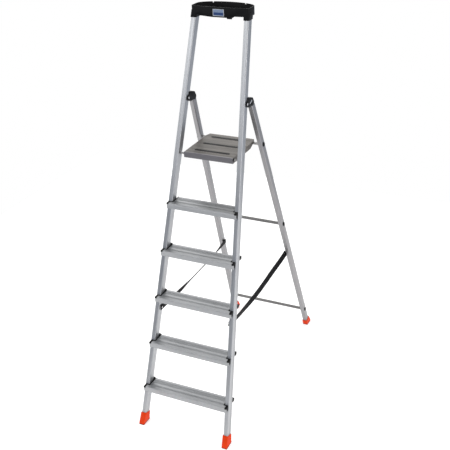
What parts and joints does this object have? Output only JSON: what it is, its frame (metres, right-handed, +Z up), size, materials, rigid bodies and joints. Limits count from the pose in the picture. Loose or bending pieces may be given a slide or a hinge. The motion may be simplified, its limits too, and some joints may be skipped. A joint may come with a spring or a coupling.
{
  "type": "step ladder",
  "caption": "Folding aluminium step ladder: leaning tread frame, hinged rear legs with cross braces, tilting platform, top tool tray and webbing spreaders.",
  "frame": {"origin": "on the floor, at the middle of the open ladder's footprint", "axes": "+X to the climber's right, +Y from the treads to the rear legs, +Z up"},
  "size_m": [0.5144, 1.231, 2.022],
  "materials": {
    "stile_aluminium": "satin anodised",
    "leg_aluminium": "satin mill finish",
    "tread_aluminium": "ribbed, satin",
    "lip_aluminium": "satin",
    "brace_steel": "dark grey, satin",
    "rod_steel": "plain",
    "fastener_steel": "plain",
    "black_plastic": "fine grain",
    "foot_plastic": "orange, fine grain",
    "deck": "grey-brown, textured",
    "label": "printed foil with a silver border",
    "webbing": "woven polyester webbing"
  },
  "bodies": {
    "front_frame": {"front_stile_left": "stile_aluminium", "front_stile_right": "stile_aluminium", "tread_1": "tread_aluminium", "tread_2": "tread_aluminium", "tread_3": "tread_aluminium", "tread_4": "tread_aluminium", "tread_5": "tread_aluminium", "tread_1_cap_left": "black_plastic", "tread_1_cap_right": "black_plastic", "tread_2_cap_left": "black_plastic", "tread_2_cap_right": "black_plastic", "tread_3_cap_left": "black_plastic", "tread_3_cap_right": "black_plastic", "tread_4_cap_left": "black_plastic", "tread_4_cap_right": "black_plastic", "tread_5_cap_left": "black_plastic", "tread_5_cap_right": "black_plastic", "front_foot_left": "foot_plastic", "front_foot_right": "foot_plastic", "top_tray": "black_plastic", "label_plate": "label", "platform_rod": "rod_steel", "rod_collar_left": "rod_steel", "rod_collar_right": "rod_steel", "hinge_rivet_left": "fastener_steel", "hinge_rivet_right": "fastener_steel", "strap_anchor_left": "fastener_steel", "strap_anchor_right": "fastener_steel"},
    "rear_frame": {"rear_leg_left": "leg_aluminium", "rear_leg_right": "leg_aluminium", "hinge_head_left": "black_plastic", "hinge_head_right": "black_plastic", "hinge_liner_left": "lip_aluminium", "hinge_liner_right": "lip_aluminium", "upper_rear_brace": "brace_steel", "lower_rear_brace": "brace_steel", "platform_support_tube": "brace_steel", "upper_brace_cap_left": "black_plastic", "upper_brace_cap_right": "black_plastic", "lower_brace_cap_left": "black_plastic", "lower_brace_cap_right": "black_plastic", "support_tube_cap_left": "black_plastic", "support_tube_cap_right": "black_plastic", "rear_foot_left": "foot_plastic", "rear_foot_right": "foot_plastic", "strap_pad_left": "black_plastic", "strap_pad_right": "black_plastic"},
    "platform": {"platform_deck": "deck", "platform_front_lip": "lip_aluminium", "deck_strip_1": "black_plastic", "deck_strip_2": "black_plastic", "deck_strip_3": "black_plastic", "rod_bush_left": "black_plastic", "rod_bush_right": "black_plastic"},
    "strap_front_link_left": {"strap_front_left": "webbing"},
    "strap_front_link_right": {"strap_front_right": "webbing"},
    "strap_rear_link_left": {"strap_rear_left": "webbing"},
    "strap_rear_link_right": {"strap_rear_right": "webbing"}
  },
  "joints": [
    {"name": "rear_fold", "type": "hinge", "parent": "front_frame", "child": "rear_frame", "pos_m": [0, -0.05568, 1.606], "axis": [-1, 0, 0], "range_deg": [0, 37.8]},
    {"name": "platform_tilt", "type": "hinge", "parent": "front_frame", "child": "platform", "pos_m": [0, -0.14826, 1.358], "axis": [1, 0, 0], "range_deg": [0, 70]},
    {"name": "strap_swing_left", "type": "hinge", "parent": "front_frame", "child": "strap_front_link_left", "pos_m": [0, -0.39062, 0.606], "axis": [-1, 0, 0], "range_deg": [0, 92.44]},
    {"name": "strap_swing_right", "type": "hinge", "parent": "front_frame", "child": "strap_front_link_right", "pos_m": [0, -0.39062, 0.606], "axis": [-1, 0, 0], "range_deg": [0, 92.44]},
    {"name": "strap_bend_left", "type": "hinge", "parent": "strap_front_link_left", "child": "strap_rear_link_left", "pos_m": [0, 0.01138, 0.60541], "axis": [1, 0, 0], "range_deg": [0, 171.42]},
    {"name": "strap_bend_right", "type": "hinge", "parent": "strap_front_link_right", "child": "strap_rear_link_right", "pos_m": [0, 0.01138, 0.60541], "axis": [1, 0, 0], "range_deg": [0, 171.42]}
  ],
  "couplings": [
    {"joint": "strap_swing_left", "follows": "rear_fold", "ratio": 2.4375},
    {"joint": "strap_swing_right", "follows": "rear_fold", "ratio": 2.4375},
    {"joint": "strap_bend_left", "follows": "rear_fold", "ratio": 4.527},
    {"joint": "strap_bend_right", "follows": "rear_fold", "ratio": 4.527}
  ]
}
